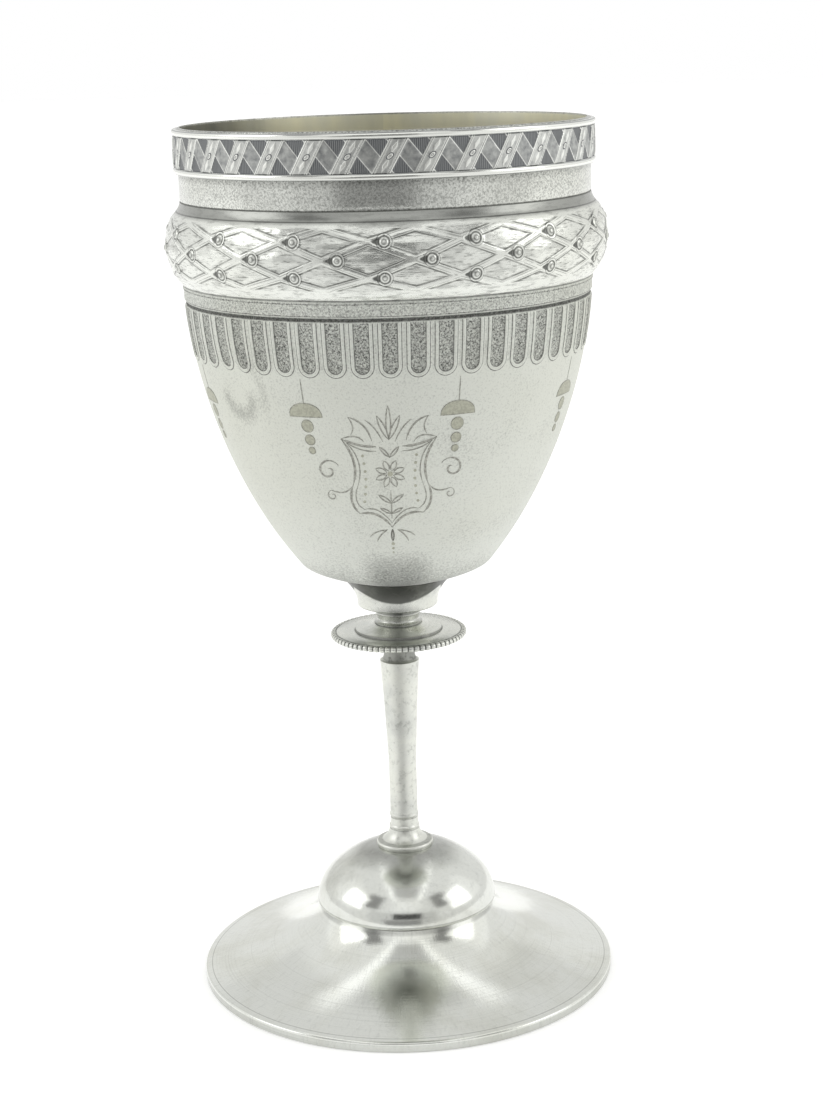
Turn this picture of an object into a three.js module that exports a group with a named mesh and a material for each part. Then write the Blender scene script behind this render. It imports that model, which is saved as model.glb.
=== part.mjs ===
// A silver goblet: a hollow bowl with a latticed girdle on a slim stem and a wide flared foot.
// Millimetres, +Z up, the axis of turning on Z and the foot's underside at Z = 0.
import * as THREE from "three";
import { mergeVertices } from "three/addons/utils/BufferGeometryUtils.js";

const FULL_TURN = 2 * Math.PI;

// The soldered seam left open between two pieces
const seam = 0.3;

// Foot: a spun sheet, hollow underneath, with a thick standing rim
const footRadius = 40.4;
const footRimHeight = 2.1;
const footRimFace = 1.6;
const footStandingWidth = 1.8;
const footSheet = 0.8;
const footCollarRadius = 16.6;
const footCollarWidth = 1.2;
const footHeight = 13.6;
const footCoveReach = 3.9;
const footCoveHeight = 6.0;
const footInsideRings = [0.12, 0.32, 0.6, 0.85];
const footSides = 36;

// Dome on the foot
const domeRadius = 17.56;
const domeLip = 0.4;
const domeRise = 11.3;
const domeTopRadius = 5.2;
const domeSheet = 0.7;
const domeUndercut = 0.5;
const domeSides = 28;

// Stem
const stemLength = 42.2;
const stemCollarRadius = 5.5;
const stemCollarHeight = 0.7;
const stemFlareHeight = 5.4;
const stemWaistRadius = 2.68;
const stemWaistLength = 11.0;
const stemShoulderRadius = 3.76;
const stemShoulderDepth = 4.6;
const stemNeckRadius = 2.95;
const stemNeckLength = 3.2;
const stemSides = 16;

// Disc with a beaded edge under the socket
const discRadius = 13.1;
const discEdgeHeight = 1.1;
const discStepRadius = 8.3;
const discStepHeight = 0.3;
const discHubHeight = 2.3;
const discBeads = 72;
const discBeadDepth = 0.35;
const discSides = 24;

// Socket under the bowl: a small cup on a spool
const socketHeight = 9.4;
const socketRimRadius = 10.8;
const socketShoulderRadius = 8.2;
const socketShoulderHeight = 4.4;
const spoolRadius = 3.8;
const spoolFootRadius = 4.6;
const spoolFlangeRadius = 4.15;
const spoolFlangeThickness = 0.67;
const spoolHeight = 2.2;
const socketSides = 24;

// Bowl, whose side is a curve between its turn above the base and the belt under the girdle
const bowlWall = 0.7;
const bowlBaseRadius = 10.5;
const bowlTurnRadius = 18.28;
const bowlTurnHeight = 3.3;
const bowlTurnBulge = 0.2;
const bowlTurnMiddle = 0.45;
const bowlSideRadius = 37.6;
const bowlSideHeight = 55.8;
const sideLowReach = 3.4;
const sideLowShare = 0.415;
const sideHighReach = 0.3;
const sideHighShare = 0.875;
const neckRadius = 37.75;
const neckHeight = 6.1;
const neckFillet = 0.7;
const lipRadius = 37.1;
const lipRound = 0.1;
const insideSides = 28;

// Where the bowl's side has its rings, as shares of its height
const outsideRings = [0.14, 0.3, 0.52];
const insideRings = [0.75, 0.5, 0.28, 0.12];

// Girdle round the bowl and its lattice, with its middle well above the bowl's side
const girdleRise = 8.2;
const girdleBase = 37.8;
const girdleSwell = 2.85;
const girdleHalfWidth = 6.9;
const girdleSquareness = 1.6;
const latticeCells = 16;
const latticeTurn = THREE.MathUtils.degToRad(-4.5);
const latticeRowPitch = 3.05;
const latticeEdgePitch = 2.15;
const ribHeight = 0.32;
const ribHalfWidth = 0.55;
const cellPillow = 0.12;
const halfCellField = 0.6;
const beadSetback = 2.7;
const beadRadius = 0.8;
const beadHeight = 0.65;

// Engraved tongues below the girdle, with a plain belt between
const tongueCount = 48;
const beltHeight = 2.7;
const beltMargin = 0.6;
const tongueLength = 10.0;
const tongueRidge = 0.25;
const tongueField = 0.1;
const tongueGap = 0.44;
const tongueBorder = 0.75;

// A shallow dent in the bowl's left side
const dentTurn = THREE.MathUtils.degToRad(-51);
const dentHeight = 37;
const dentDepth = 0.45;
const dentReach = 6;

// Strip round the lip with its folded-ribbon frieze, and the turn of one ribbon's middle
const bandHeight = 7.9;
const bandThickness = 0.6;
const bandDrop = 0.3;
const filletHeight = 1.1;
const friezeDepth = 0.3;
const ribbonCount = 34;
const ribbonWidth = 3.2;
const ribbonSlant = 3.2;
const ribbonTurn = THREE.MathUtils.degToRad(1.4);

// Heights on the bowl, from its base
const girdleHeight = bowlSideHeight + girdleRise;
const tongueTop = bowlSideHeight - beltHeight;
const tongueBottom = tongueTop - tongueLength;
const neckFoot = girdleHeight + girdleHalfWidth;
const bowlHeight = neckFoot + neckHeight + bandHeight + bandDrop;

// Heights at which the pieces stand on each other
const domeBase = footHeight + seam;
const domeCentre = domeBase + domeLip;
const domeTop = domeCentre + domeRise * Math.sqrt(1 - (domeTopRadius / domeRadius) ** 2);
const stemBase = domeTop + seam;
const discBase = stemBase + stemLength + seam;
const socketBase = discBase + discHubHeight + seam;
const bowlBase = socketBase + socketHeight + seam;
const bowlTop = bowlBase + bowlHeight;
const bandTop = bowlTop - bandDrop;
const bandBase = bandTop - bandHeight;

// A place on a round piece, by its turn from the front towards the right, its radius and its height
const spot = (turn, radius, height) => ({ turn, radius, height });

// Triangles of one closed surface, gathered from zone to zone
class Skin {
  positions = [];

  face(...spots) {
    for (const { turn, radius, height } of spots) {
      this.positions.push(radius * Math.sin(turn), -radius * Math.cos(turn), height);
    }
  }

  // Two triangles between four places that go round counterclockwise, seen from outside
  quad(a, b, c, d) {
    this.face(a, b, c);
    this.face(a, c, d);
  }

  // Joins two rings, whose places may differ in number
  stitch(from, to) {
    const place = (ring, i) => {
      const { turn, radius, height } = ring[i % ring.length];
      return spot(turn + FULL_TURN * Math.floor(i / ring.length), radius, height);
    };
    const fromEnd = from.length > 1 ? from.length : 0;
    const toEnd = to.length > 1 ? to.length : 0;
    let i = 0;
    let j = 0;
    while (i < fromEnd || j < toEnd) {
      const nextFrom = place(from, i + 1);
      const nextTo = place(to, j + 1);
      if (j === toEnd || (i < fromEnd && nextFrom.turn <= nextTo.turn)) {
        this.face(place(from, i), nextFrom, place(to, j));
        i += 1;
      } else {
        this.face(place(from, i), nextTo, place(to, j));
        j += 1;
      }
    }
  }

  stitchAll(rings) {
    rings.slice(1).forEach((ring, i) => this.stitch(rings[i], ring));
  }

  geometry() {
    const loose = new THREE.BufferGeometry();
    loose.setAttribute("position", new THREE.Float32BufferAttribute(this.positions, 3));
    const merged = mergeVertices(loose, 1e-4);
    merged.computeVertexNormals();
    return merged;
  }
}

// A ring of equal steps, or one place on the axis where its radius is nought
function ring(radius, height, count, start = 0) {
  if (radius === 0) return [spot(0, 0, height)];
  const step = FULL_TURN / count;
  return Array.from({ length: count }, (_, i) => spot(start + i * step, radius, height));
}

// The points of a path, given as pairs of radius and height
const pathPoints = (path, divisions) => path.getPoints(divisions).map((p) => [p.x, p.y]);

// A piece turned on the axis from an outline that starts and ends there
function turnedPiece(outline, segments) {
  const points = outline.map(([radius, height]) => new THREE.Vector2(radius, height));
  return weld(new THREE.LatheGeometry(points, segments).rotateX(Math.PI / 2));
}

// A hollow ring turned from an outline that closes on itself
function turnedRing(outline, segments) {
  return turnedPiece([...outline, outline[0]], segments);
}

function weld(geometry) {
  geometry.deleteAttribute("normal");
  geometry.deleteAttribute("uv");
  const merged = mergeVertices(geometry, 1e-4);
  merged.computeVertexNormals();
  return merged;
}

// The foot is a falling cove, with its underside a sheet's thickness below it, and a standing rim
function makeFoot() {
  const cove = new THREE.QuadraticBezierCurve(
    new THREE.Vector2(footCollarRadius, footHeight),
    new THREE.Vector2(footCollarRadius + footCoveReach, footCoveHeight),
    new THREE.Vector2(footRadius - footRimHeight / 3, footRimHeight),
  );
  const outside = pathPoints(cove, 4);
  const inside = footInsideRings.map((share) => {
    const point = cove.getPoint(share);
    const along = cove.getTangent(share);
    return [point.x + along.y * footSheet, point.y - along.x * footSheet];
  });
  const standing = footRadius - footStandingWidth;
  const outline = [
    [footCollarRadius - footCollarWidth, footHeight],
    [footCollarRadius - footCollarWidth, footHeight - 2 * footSheet],
    ...inside,
    [standing, footRimHeight - footSheet],
    [standing, 0],
    [footRadius, 0],
    [footRadius, footRimFace],
    ...outside.reverse(),
  ];
  return turnedRing(outline, footSides);
}

// The dome's outer curve from its lip up to its flat top
function domeCurve(radius, rise, topRadius, steps) {
  const end = Math.acos(topRadius / radius);
  return Array.from({ length: steps + 1 }, (_, i) => {
    const angle = (end * i) / steps;
    return [radius * Math.cos(angle), domeCentre + rise * Math.sin(angle)];
  });
}

function makeDome() {
  const outside = domeCurve(domeRadius, domeRise, domeTopRadius, 6);
  const innerRadius = domeRadius - domeSheet;
  const inside = domeCurve(innerRadius, domeRise - domeSheet, domeTopRadius - domeSheet, 3);
  const outline = [
    [0, inside.at(-1)[1]],
    ...inside.reverse(),
    [footCollarRadius - footCollarWidth, domeBase],
    [domeRadius - domeUndercut, domeBase],
    ...outside,
    [0, domeTop],
  ];
  return turnedPiece(outline, domeSides);
}

function makeStem() {
  const top = stemBase + stemLength;
  const flareTop = stemBase + stemFlareHeight;
  const waistTop = flareTop + stemWaistLength;
  const shoulder = top - stemShoulderDepth;
  const flare = new THREE.Path();
  flare.moveTo(stemCollarRadius, stemBase + stemCollarHeight);
  flare.quadraticCurveTo(
    stemWaistRadius,
    stemBase + stemCollarHeight + seam,
    stemWaistRadius,
    flareTop,
  );
  const swell = new THREE.Path();
  swell.moveTo(stemWaistRadius, waistTop);
  swell.quadraticCurveTo(
    stemWaistRadius + (stemShoulderRadius - stemWaistRadius) / 3,
    (waistTop + shoulder) / 2,
    stemShoulderRadius,
    shoulder,
  );
  const outline = [
    [0, stemBase],
    [stemCollarRadius, stemBase],
    ...pathPoints(flare, 4),
    ...pathPoints(swell, 3),
    [stemNeckRadius, top - stemNeckLength],
    [stemNeckRadius, top],
    [0, top],
  ];
  return turnedPiece(outline, stemSides);
}

// The disc's edge is a row of beads, so its ring swings out and in once for each
function beadedRing(radius, height, depth) {
  const step = Math.PI / discBeads;
  return Array.from({ length: 2 * discBeads }, (_, i) =>
    spot(i * step, i % 2 ? radius - depth : radius, height),
  );
}

function makeDisc() {
  const edge = discBase + discEdgeHeight;
  const skin = new Skin();
  const inset = discRadius - 2 * discBeadDepth;
  skin.stitchAll([
    ring(0, discBase, 1),
    ring(inset, discBase, discSides),
    beadedRing(discRadius, discBase + discEdgeHeight / 3, discBeadDepth),
    beadedRing(discRadius, edge - discEdgeHeight / 3, discBeadDepth),
    ring(inset, edge, discBeads / 2),
    ring(discStepRadius + discStepHeight, edge + discStepHeight, discSides),
    ring(discStepRadius, edge + 2 * discStepHeight, discSides),
    ring(spoolFootRadius, discBase + discHubHeight, discSides),
    ring(0, discBase + discHubHeight, 1),
  ]);
  return skin.geometry();
}

function makeSocket() {
  const spoolTop = socketBase + spoolHeight;
  const shoulder = socketBase + socketShoulderHeight;
  const rim = socketBase + socketHeight;
  const underside = new THREE.Path();
  underside.moveTo(spoolFlangeRadius, spoolTop + spoolFlangeThickness);
  underside.quadraticCurveTo(
    socketShoulderRadius - seam,
    spoolTop + 2 * spoolFlangeThickness,
    socketShoulderRadius,
    shoulder,
  );
  underside.quadraticCurveTo(
    socketShoulderRadius + seam,
    (shoulder + rim) / 2,
    socketRimRadius,
    rim,
  );
  const outline = [
    [0, socketBase],
    [spoolFootRadius, socketBase],
    [spoolRadius, socketBase + spoolHeight / 3],
    [spoolRadius, spoolTop - spoolFlangeThickness],
    [spoolFlangeRadius, spoolTop],
    ...pathPoints(underside, 3),
    [0, rim],
  ];
  return turnedPiece(outline, socketSides);
}

// Outer radius of the bowl's side by its height above the bowl's base
const bowlSide = new THREE.CubicBezierCurve(
  new THREE.Vector2(bowlTurnRadius, bowlTurnHeight),
  new THREE.Vector2(bowlSideRadius - sideLowReach, sideLowShare * bowlSideHeight),
  new THREE.Vector2(bowlSideRadius + sideHighReach, sideHighShare * bowlSideHeight),
  new THREE.Vector2(bowlSideRadius, bowlSideHeight),
);

function sideRadius(height) {
  let low = 0;
  let high = 1;
  for (let i = 0; i < 30; i += 1) {
    const middle = (low + high) / 2;
    if (bowlSide.getPoint(middle).y < height) low = middle;
    else high = middle;
  }
  return bowlSide.getPoint(low).x;
}

// Outer radius of the girdle by its height above the bowl's base
function girdleRadius(height) {
  const reach = Math.min(Math.abs(height - girdleHeight) / girdleHalfWidth, 1);
  const swell = (1 - reach ** girdleSquareness) ** (1 / girdleSquareness);
  return girdleBase + girdleSwell * swell;
}

// How far the dent draws the bowl's side in
function dent(turn, height) {
  const across = bowlSideRadius * Math.sin(turn - dentTurn);
  const front = Math.cos(turn - dentTurn) > 0 ? 1 : 0;
  const along = height - dentHeight;
  return front * dentDepth * Math.exp(-(across ** 2 + along ** 2) / dentReach ** 2);
}

// A ring on the bowl's side, drawn in where the dent is
function sideRing(height, count, inset = 0) {
  const radius = sideRadius(height) - inset;
  return ring(radius, height, count).map(({ turn }) =>
    spot(turn, radius - dent(turn, height), height + bowlBase),
  );
}

// One tongue: a ridge in the shape of a U round a sunk field
function addTongue(skin, centre) {
  const halfPitch = Math.PI / tongueCount;
  const radius = sideRadius(tongueTop);
  const crestHalf = halfPitch - tongueGap / radius;
  const fieldHalf = crestHalf - tongueBorder / radius;
  const at = (turn, height, rise) =>
    spot(centre + turn, sideRadius(height) + rise - dent(centre + turn, height), height + bowlBase);
  const tip = tongueBottom + tongueGap;
  const arc = (half, top, rise) => {
    const reach = half * radius;
    const springing = tip + crestHalf * radius;
    const round = [-90, -30, 30, 90].map((degrees) => {
      const angle = THREE.MathUtils.degToRad(degrees);
      return at(half * Math.sin(angle), springing - reach * Math.cos(angle), rise);
    });
    return [at(-half, top, rise), ...round, at(half, top, rise)];
  };
  const springing = tip + crestHalf * radius;
  const ground = [
    at(-halfPitch, tongueTop, 0),
    at(-halfPitch, springing, 0),
    at(-halfPitch, tongueBottom, 0),
    at(halfPitch, tongueBottom, 0),
    at(halfPitch, springing, 0),
    at(halfPitch, tongueTop, 0),
  ];
  const crest = arc(crestHalf, tongueTop - tongueGap, tongueRidge);
  const field = arc(fieldHalf, tongueTop - tongueGap - tongueBorder / 2, -tongueField);
  const last = ground.length - 1;
  for (let i = 0; i < last; i += 1) {
    skin.quad(ground[i], ground[i + 1], crest[i + 1], crest[i]);
    skin.quad(crest[i], crest[i + 1], field[i + 1], field[i]);
  }
  for (let i = 1; i < last; i += 1) skin.face(field[0], field[i], field[i + 1]);
  skin.face(ground[0], crest[0], field[0]);
  skin.face(ground[0], field[0], field[last]);
  skin.face(ground[0], field[last], ground[last]);
  skin.face(field[last], crest[last], ground[last]);
}

// A ring on the bowl's side with one place between every two tongues
const tongueEdge = (height) =>
  ring(1, height, tongueCount, -Math.PI / tongueCount).map(({ turn }) =>
    spot(turn, sideRadius(height) - dent(turn, height), height + bowlBase),
  );

// Heights of the lattice's five rows of crossings, the outer two on the girdle's edges
const latticeRows = [
  -latticeRowPitch - latticeEdgePitch,
  -latticeRowPitch,
  0,
  latticeRowPitch,
  latticeRowPitch + latticeEdgePitch,
].map((offset) => girdleHeight + offset);
const halfCell = Math.PI / latticeCells;
const girdleOuter = girdleBase + girdleSwell;

const onGirdle = (turn, height, rise = 0) =>
  spot(turn, girdleRadius(height) + rise, height + bowlBase);

// Every second row of crossings is half a cell further round
const rowStart = (row) => latticeTurn + (row % 2 ? 0 : halfCell);

// A crossing stands as high as the ribs, but is level with the ground on the girdle's edges
function crossing(row, turn) {
  const onEdge = row === 0 || row === latticeRows.length - 1;
  return onGirdle(turn, latticeRows[row], onEdge ? 0 : ribHeight);
}

const ribMiddle = (rowA, turnA, rowB, turnB) =>
  onGirdle((turnA + turnB) / 2, (latticeRows[rowA] + latticeRows[rowB]) / 2, ribHeight);

// A cell between four ribs, with a bead in its left corner
function addCell(skin, row, turn) {
  const height = latticeRows[row];
  const rows = [row, row + 1, row, row - 1];
  const turns = [turn + halfCell, turn, turn - halfCell, turn];
  const slope = Math.atan(latticeRowPitch / (halfCell * girdleOuter));
  const insetTurn = ribHalfWidth / Math.sin(slope) / girdleOuter;
  const insetHeight = ribHalfWidth / Math.cos(slope);
  const [right, top, left, bottom] = [
    onGirdle(turns[0] - insetTurn, height),
    onGirdle(turn, latticeRows[row + 1] - insetHeight),
    onGirdle(turns[2] + insetTurn, height),
    onGirdle(turn, latticeRows[row - 1] + insetHeight),
  ];
  [right, top, left, bottom].forEach((corner, i, corners) => {
    const next = (i + 1) % 4;
    const middle = ribMiddle(rows[i], turns[i], rows[next], turns[next]);
    skin.face(crossing(rows[i], turns[i]), middle, corner);
    skin.face(middle, corners[next], corner);
    skin.face(middle, crossing(rows[next], turns[next]), corners[next]);
  });

  const beadTurn = turns[2] + beadSetback / girdleOuter;
  const foot = [0, 60, 120, 180, 240, 300].map((degrees) => {
    const angle = THREE.MathUtils.degToRad(degrees);
    return onGirdle(
      beadTurn + (beadRadius * Math.cos(angle)) / girdleOuter,
      height + beadRadius * Math.sin(angle),
    );
  });
  const beadTop = onGirdle(beadTurn, height, beadHeight);
  foot.forEach((place, i) => skin.face(place, foot[(i + 1) % foot.length], beadTop));

  const pillow = onGirdle(turn, height, cellPillow);
  skin.face(left, foot[4], foot[3]);
  skin.face(left, foot[3], foot[2]);
  skin.face(top, left, foot[2]);
  skin.face(top, foot[2], foot[1]);
  skin.face(top, foot[1], pillow);
  skin.face(pillow, foot[1], foot[0]);
  skin.face(pillow, foot[0], foot[5]);
  skin.face(bottom, pillow, foot[5]);
  skin.face(bottom, foot[5], foot[4]);
  skin.face(bottom, foot[4], left);
  skin.face(top, pillow, right);
  skin.face(bottom, right, pillow);
}

// Half cell between the lattice and the girdle's upper (side 1) or lower (side -1) edge
function addHalfCell(skin, side, turn) {
  const edgeRow = side > 0 ? latticeRows.length - 1 : 0;
  const row = edgeRow - side;
  const edge = latticeRows[edgeRow];
  const rim = [-1, -0.5, 0, 0.5, 1].map((share) => onGirdle(turn + share * halfCell, edge));
  const node = crossing(row, turn);
  const leftRib = ribMiddle(edgeRow, turn - halfCell, row, turn);
  const rightRib = ribMiddle(row, turn, edgeRow, turn + halfCell);
  const innerNode = onGirdle(turn, latticeRows[row] + 2 * side * ribHalfWidth);
  const innerLeft = onGirdle(turn - halfCellField * halfCell, edge - side * seam);
  const innerRight = onGirdle(turn + halfCellField * halfCell, edge - side * seam);
  const faces = [
    [rim[0], leftRib, innerLeft],
    [leftRib, innerNode, innerLeft],
    [leftRib, node, innerNode],
    [node, rightRib, innerNode],
    [rightRib, innerRight, innerNode],
    [rightRib, rim[4], innerRight],
    [rim[4], rim[3], innerRight],
    [rim[3], rim[2], innerRight],
    [rim[2], innerLeft, innerRight],
    [rim[2], rim[1], innerLeft],
    [rim[1], rim[0], innerLeft],
    [innerLeft, innerNode, innerRight],
  ];
  for (const [a, b, c] of faces) {
    if (side > 0) skin.face(a, b, c);
    else skin.face(a, c, b);
  }
}

function addLattice(skin) {
  for (let i = 0; i < latticeCells; i += 1) {
    const shift = i * 2 * halfCell;
    for (let row = 1; row < latticeRows.length - 1; row += 1) {
      addCell(skin, row, rowStart(row) + halfCell + shift);
    }
    addHalfCell(skin, 1, rowStart(latticeRows.length - 2) + shift);
    addHalfCell(skin, -1, rowStart(1) + shift);
  }
}

function latticeEdge(height) {
  return ring(1, height, 4 * latticeCells, latticeTurn).map(({ turn }) => onGirdle(turn, height));
}

function makeBowl() {
  const skin = new Skin();
  const plain = insideSides;
  const level = (radius, height, count, start = 0) => ring(radius, height + bowlBase, count, start);
  const tongueStart = -Math.PI / tongueCount;
  const beltRadius = sideRadius(bowlSideHeight);
  const turnMiddle = (bowlBaseRadius + bowlTurnRadius) / 2 + bowlTurnBulge;
  const turnMiddleHeight = bowlTurnMiddle * bowlTurnHeight;

  // Outside, from the middle of the base up to the tongues
  skin.stitchAll([
    level(0, 0, 1),
    level(bowlBaseRadius, 0, tongueCount, tongueStart),
    level(turnMiddle, turnMiddleHeight, tongueCount, tongueStart),
    tongueEdge(bowlTurnHeight),
    ...outsideRings.map((share) => tongueEdge(share * bowlSideHeight)),
    tongueEdge(tongueBottom),
  ]);
  for (let i = 0; i < tongueCount; i += 1) addTongue(skin, (i * FULL_TURN) / tongueCount);

  // Belt between the tongues and the girdle
  skin.stitchAll([
    tongueEdge(tongueTop),
    level(beltRadius + tongueRidge, tongueTop + beltMargin, tongueCount, tongueStart),
    level(beltRadius, bowlSideHeight + beltMargin, tongueCount, tongueStart),
    latticeEdge(latticeRows[0]),
  ]);
  addLattice(skin);

  // Cove, neck and lip, then the inside down to the middle of the floor
  const wallRadius = (height) => girdleRadius(height) - bowlWall;
  const lipTop = bowlHeight;
  skin.stitchAll([
    latticeEdge(latticeRows.at(-1)),
    level(neckRadius + neckFillet, neckFoot - neckFillet, tongueCount),
    level(neckRadius, neckFoot + neckFillet, tongueCount),
    level(neckRadius, lipTop - bandDrop, tongueCount),
    level((neckRadius + lipRadius) / 2, lipTop, tongueCount),
    level(lipRadius, lipTop - lipRound, plain),
    level(neckRadius - bowlWall, lipTop - 2 * bandDrop, plain),
    level(neckRadius - bowlWall, neckFoot, plain),
    level(wallRadius(girdleHeight), girdleHeight, plain),
    level(beltRadius - bowlWall, girdleHeight - girdleHalfWidth, plain),
    ...insideRings.map((share) => sideRing(share * bowlSideHeight, plain, bowlWall)),
    level(turnMiddle - bowlWall, turnMiddleHeight + bowlWall, plain),
    level(0, bowlWall, 1),
  ]);
  return skin.geometry();
}

// One repeat of the frieze: a raised slanting ribbon, and its lower back showing as a lozenge beside it
function addRibbon(skin, start, radii, low, high) {
  const pitch = FULL_TURN / ribbonCount;
  const width = ribbonWidth / radii.ribbon;
  const slant = ribbonSlant / radii.ribbon;
  const height = high - low;
  const ground = (turn, z) => spot(start + turn, radii.ground, z);
  const raised = (turn, z) => spot(start + turn, radii.ribbon, z);
  // Where the folded ribbon's back comes out from behind one ribbon and goes under the next
  const out = 1 - width / pitch;
  const leave = [width + slant * out, low + height * out];
  const arrive = [pitch + slant * (1 - out), low + height * (1 - out)];
  const lifted = [
    raised(0, low),
    raised(width, low),
    raised(leave[0], leave[1]),
    raised(width + slant, high),
    raised(slant, high),
    raised(arrive[0] - pitch, arrive[1]),
  ];
  const foot = [
    ground(0, low),
    ground(width, low),
    ground(leave[0], leave[1]),
    ground(width + slant, high),
    ground(slant, high),
    ground(arrive[0] - pitch, arrive[1]),
  ];
  for (let i = 1; i < 5; i += 1) skin.face(lifted[0], lifted[i], lifted[i + 1]);
  foot.forEach((place, i) => {
    const next = (i + 1) % foot.length;
    skin.quad(place, foot[next], lifted[next], lifted[i]);
  });
  const back = spot(start + (leave[0] + arrive[0]) / 2, (radii.ground + radii.ribbon) / 2, leave[1]);
  const lozenge = [
    ground(leave[0], leave[1]),
    ground(pitch, low),
    ground(arrive[0], arrive[1]),
    ground(width + slant, high),
  ];
  lozenge.forEach((place, i) => skin.face(place, lozenge[(i + 1) % 4], back));
  skin.face(ground(width, low), lozenge[1], lozenge[0]);
  skin.face(lozenge[3], lozenge[2], ground(pitch + slant, high));
}

function makeBand() {
  const skin = new Skin();
  const inner = neckRadius + seam;
  const outer = inner + bandThickness;
  const radii = { ground: outer - friezeDepth, ribbon: outer };
  const low = bandBase + filletHeight;
  const high = bandTop - filletHeight;
  const pitch = FULL_TURN / ribbonCount;
  const slant = ribbonSlant / radii.ribbon;
  const width = ribbonWidth / radii.ribbon;
  const start = ribbonTurn - (width + slant) / 2;
  const edge = (shift, height) =>
    Array.from({ length: 2 * ribbonCount }, (_, i) =>
      spot(start + shift + Math.floor(i / 2) * pitch + (i % 2 ? width : 0), radii.ground, height),
    );
  const fillet = (radius, height, shift = 0) => ring(radius, height, ribbonCount, start + shift);
  skin.stitchAll([
    fillet(inner, bandBase),
    fillet(radii.ground, bandBase),
    fillet(outer, bandBase + filletHeight / 2),
    edge(0, low),
  ]);
  for (let i = 0; i < ribbonCount; i += 1) {
    addRibbon(skin, start + i * pitch, radii, low, high);
  }
  skin.stitchAll([
    edge(slant, high),
    fillet(outer, bandTop - filletHeight / 2, slant),
    fillet(radii.ground, bandTop, slant),
    fillet(inner, bandTop),
    fillet(inner, bandBase),
  ]);
  return skin.geometry();
}

// Finishes, by their colour, roughness and metalness
const satinSilver = new THREE.MeshStandardMaterial({
  color: 0xc8c7bd,
  roughness: 0.42,
  metalness: 1,
});
const brightSilver = new THREE.MeshStandardMaterial({
  color: 0xd0d0cb,
  roughness: 0.16,
  metalness: 1,
});
const dullSilver = new THREE.MeshStandardMaterial({
  color: 0xaeaea6,
  roughness: 0.5,
  metalness: 0.9,
});

function piece(name, geometry, material) {
  const mesh = new THREE.Mesh(geometry, material);
  mesh.name = name;
  return mesh;
}

const goblet = new THREE.Group();
goblet.add(
  piece("foot", makeFoot(), satinSilver),
  piece("foot_dome", makeDome(), brightSilver),
  piece("stem", makeStem(), dullSilver),
  piece("knop_disc", makeDisc(), satinSilver),
  piece("bowl_socket", makeSocket(), dullSilver),
  piece("bowl", makeBowl(), satinSilver),
  piece("rim_band", makeBand(), brightSilver),
);

export default goblet;
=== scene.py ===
# A silver goblet with a latticed girdle, a ribbon frieze, a slim stem and a wide foot
# Sizes are in millimetres and turn into metres where a mesh is made
import math

import bpy
import numpy as np
from mathutils import Matrix, Vector


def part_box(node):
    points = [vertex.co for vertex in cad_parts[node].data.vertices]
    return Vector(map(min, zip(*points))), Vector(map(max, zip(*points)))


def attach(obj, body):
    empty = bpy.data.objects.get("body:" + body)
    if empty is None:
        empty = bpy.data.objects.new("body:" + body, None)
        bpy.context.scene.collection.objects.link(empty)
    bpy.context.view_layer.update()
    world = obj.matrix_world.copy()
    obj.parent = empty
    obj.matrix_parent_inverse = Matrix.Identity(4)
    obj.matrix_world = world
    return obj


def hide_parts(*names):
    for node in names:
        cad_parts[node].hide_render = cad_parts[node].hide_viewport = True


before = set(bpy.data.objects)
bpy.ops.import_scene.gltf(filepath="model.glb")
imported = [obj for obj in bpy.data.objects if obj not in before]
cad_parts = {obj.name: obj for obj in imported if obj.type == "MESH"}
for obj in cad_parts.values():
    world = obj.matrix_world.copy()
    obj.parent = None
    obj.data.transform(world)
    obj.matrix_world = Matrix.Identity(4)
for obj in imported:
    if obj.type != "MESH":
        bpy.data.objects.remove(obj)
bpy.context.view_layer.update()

MM = 0.001
FULL_TURN = 2 * math.pi


def node_size(node):
    """Lowest and highest point of a CAD node and its outer radius."""
    low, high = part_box(node)
    return low.z / MM, high.z / MM, high.x / MM


# Places and outer sizes that the frame gives
_, foot_top, foot_radius = node_size("foot")
dome_base, dome_top, dome_radius = node_size("foot_dome")
stem_base, stem_top, _ = node_size("stem")
disc_base, _, disc_radius = node_size("knop_disc")
socket_base, _, socket_radius = node_size("bowl_socket")
bowl_base, bowl_top, _ = node_size("bowl")
band_base, band_top, band_radius = node_size("rim_band")

# Foot
foot_rim_height = 2.1
foot_rim_face = 1.6
foot_standing_width = 1.8
foot_sheet = 0.8
foot_collar_radius = 16.6
foot_mouth_radius = foot_collar_radius - 1.2
foot_cove_reach = 3.9
foot_cove_height = 6.0

# Dome on the foot
dome_lip = 0.4
dome_lip_width = 0.55
dome_rise = 11.3
dome_top_radius = 5.2
dome_sheet = 0.7

# Stem
stem_collar_radius = 5.5
stem_collar_height = 0.7
stem_flare_height = 5.4
stem_waist_radius = 2.68
stem_waist_length = 11.0
stem_shoulder_radius = 3.76
stem_shoulder_depth = 4.6
stem_shoulder = stem_top - stem_shoulder_depth
stem_neck_radius = 2.95
stem_neck_length = 3.2
stem_ring_heights = (6.0, 3.7)
stem_ring_size = 0.16

# Disc with a beaded edge
disc_edge_height = 1.1
disc_step_radius = 8.3
disc_step_height = 0.3
disc_beads = 72
disc_bead_size = 0.38

# Socket under the bowl
socket_shoulder_radius = 8.2
socket_shoulder_height = 4.4
spool_radius = 3.8
spool_foot_radius = 4.6
spool_flange_radius = 4.15
spool_flange_thickness = 0.67
spool_height = 2.2
spool_flange_reach = spool_flange_radius + 0.18

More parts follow.
